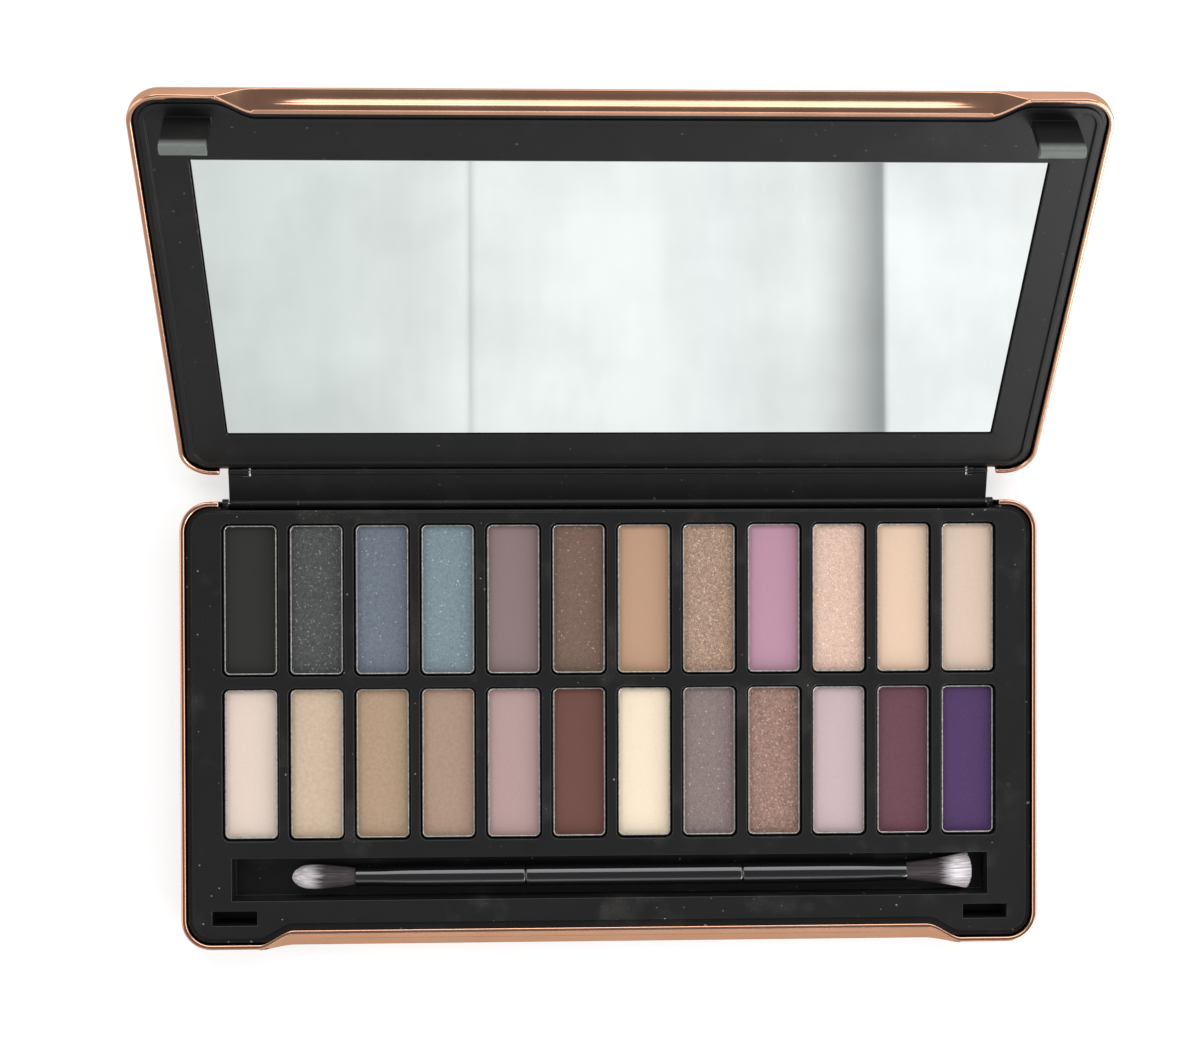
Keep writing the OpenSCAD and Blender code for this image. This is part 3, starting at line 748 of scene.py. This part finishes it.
tuft("tuft_left", domed_tuft(), domed_core(),
     bristle("bristle_left", tuft_low.x, domed_low.x, 0.38, 0.16, 226), "tuft_domed")
tuft("tuft_right", flat_tuft(), flat_core(),
     bristle("bristle_right", fan_high.x, flat_high.x, 0.36, 0.10, 248), "tuft_flat")


# ---- Floor, paper, light and camera ----

FLOOR_REACH = 2.5
PAPER_Y = -0.6
PAPER_LEFT, PAPER_RIGHT, PAPER_TOP = -0.5, 0.30, 0.42

# The paper's panels and folds: a place from left to right, and its tone, the painted light and
# shade of that panel or fold
PAPER_FOLD_LIGHT = (
    (0.0, (204, 210, 208)), (0.15, (216, 222, 220)), (0.30, (232, 236, 235)),
    (0.327, (242, 246, 245)), (0.332, (208, 213, 211)), (0.338, (238, 242, 241)),
    (0.50, (243, 246, 245)), (0.60, (236, 240, 240)), (0.69, (238, 242, 241)),
    (0.72, (222, 225, 224)), (0.742, (198, 201, 201)), (0.76, (166, 169, 170)),
    (0.773, (146, 150, 150)), (0.779, (244, 247, 249)), (1.0, (248, 250, 250)),
)


def staged(name, corners, material):
    bm = bmesh.new()
    bm.faces.new([bm.verts.new(corner) for corner in corners])
    mesh = bpy.data.meshes.new(name)
    bm.to_mesh(mesh)
    bm.free()
    mesh.materials.append(material)
    made = bpy.data.objects.new(name, mesh)
    bpy.context.scene.collection.objects.link(made)
    return made


def floor_white():
    made = Finish("floor_white", (0.32, 0.32, 0.32, 1), 0.8, Specular_IOR_Level=0.1)
    made.colour(made.ramp(made.grain(3, 2), (0.3, 0.31), (0.7, 0.33)))
    made.shader.inputs["Emission Color"].default_value = (1, 1, 1, 1)
    made.shader.inputs["Emission Strength"].default_value = 0.58
    return made.material


def standing_paper():
    """Creased pale paper that stands in front of the palette and shows only in reflections. It
    glows, and the light and shade of its folds and crumples are painted into the glow, which is
    also darker towards its foot.
    """
    made = Finish("standing_paper", (0.02, 0.02, 0.02, 1), 1.0)
    split = made.node("ShaderNodeSeparateXYZ", Vector=made.place)
    across = split.outputs[0]
    crumple = made.grain(8, 4, 0.5, stretch=(1, 1, 1.6))
    crinkle = made.grain(38, 4, 0.6, stretch=(1, 1, 0.35))
    tone = made.ramp(made.spread(across, 0, 1, -0.22, 0.30),
                     *[(place, linear(*level)) for place, level in PAPER_FOLD_LIGHT])
    # Painted shade of the crumples
    shade = made.ramp(made.plus(made.times(crumple, 0.7), made.times(crinkle, 0.3)),
                      (0.36, 0.88), (0.60, 1.06))
    # Painted shade: the glow is darker towards the paper's foot
    foot = made.ramp(made.spread(split.outputs[2], 0, 1, 0.04, 0.10), (0.0, 0.93), (1.0, 1.0))
    light = made.mix(1.0, made.mix(1.0, tone, shade, "MULTIPLY"), foot, "MULTIPLY")
    made.feed(made.shader.inputs["Emission Color"], light)
    made.shader.inputs["Emission Strength"].default_value = 1.0
    return made.material


staged("floor", [(-FLOOR_REACH, -FLOOR_REACH, 0), (FLOOR_REACH, -FLOOR_REACH, 0),
                 (FLOOR_REACH, FLOOR_REACH, 0), (-FLOOR_REACH, FLOOR_REACH, 0)], floor_white())
paper = staged("standing_paper", [(PAPER_LEFT, PAPER_Y, 0.0), (PAPER_RIGHT, PAPER_Y, 0.0),
                                  (PAPER_RIGHT, PAPER_Y, PAPER_TOP),
                                  (PAPER_LEFT, PAPER_Y, PAPER_TOP)], standing_paper())
paper.visible_camera = False
paper.visible_diffuse = False
paper.visible_shadow = False
paper.visible_transmission = False


def studio_sky(horizon, middle, zenith):
    """Soft light from all round; each argument is a height from 0 to 1 and a colour."""
    world = bpy.data.worlds.new("studio")
    world.use_nodes = True
    bpy.context.scene.world = world
    sky = world.node_tree
    background = sky.nodes["Background"]
    heading = sky.nodes.new("ShaderNodeTexCoord")
    rise = sky.nodes.new("ShaderNodeSeparateXYZ")
    shades = sky.nodes.new("ShaderNodeValToRGB")
    sky.links.new(heading.outputs["Generated"], rise.inputs[0])
    sky.links.new(rise.outputs[2], shades.inputs[0])
    sky.links.new(shades.outputs[0], background.inputs["Color"])
    line = shades.color_ramp
    line.elements.new(0.5)
    for element, (height, colour) in zip(line.elements, (horizon, middle, zenith)):
        element.position = height
        element.color = colour + (1,)
    background.inputs["Strength"].default_value = 1.0


studio_sky((0.0, (0.62, 0.62, 0.63)), (0.42, (1.25, 1.25, 1.255)), (0.9, (0.28, 0.285, 0.29)))


def softbox(name, place, aim, width, depth, power):
    lamp = bpy.data.lights.new(name, "AREA")
    lamp.shape = "RECTANGLE"
    lamp.size, lamp.size_y = width, depth
    lamp.energy = power
    made = bpy.data.objects.new(name, lamp)
    made.location = place
    made.rotation_mode = "QUATERNION"
    made.rotation_quaternion = (Vector(aim) - Vector(place)).to_track_quat("-Z", "Y")
    bpy.context.scene.collection.objects.link(made)


softbox("back_window", (0.15, 1.05, 0.92), (0, 0.05, 0.03), 1.9, 1.1, 22)
softbox("left_panel", (-1.30, -0.05, 0.75), (0, 0, 0), 1.0, 0.9, 7)
softbox("right_panel", (1.30, 0.05, 0.75), (0, 0, 0), 1.0, 0.9, 8.5)
softbox("front_panel", (-0.1, -1.40, 0.75), (0, 0, 0), 1.4, 0.8, 7)
softbox("front_window", (0.62, -0.54, 0.24), (0.08, 0.06, 0.04), 0.55, 0.42, 7)

EYE_PLACE = Vector((-22.05, 54.60, 492.89)) * MM
EYE_TURN = Vector((0.0139, 0.0401, 0.003))

camera = bpy.data.cameras.new("camera")
camera.sensor_width = 36
camera.lens = 62.28
camera.clip_start = 0.01
camera.clip_end = 20
eye = bpy.data.objects.new("camera", camera)
eye.matrix_world = (Matrix.Translation(EYE_PLACE)
                    @ Matrix.Rotation(-EYE_TURN.length, 4, EYE_TURN.normalized()))
bpy.context.scene.collection.objects.link(eye)
bpy.context.scene.camera = eye
bpy.context.scene.view_settings.view_transform = "Standard"
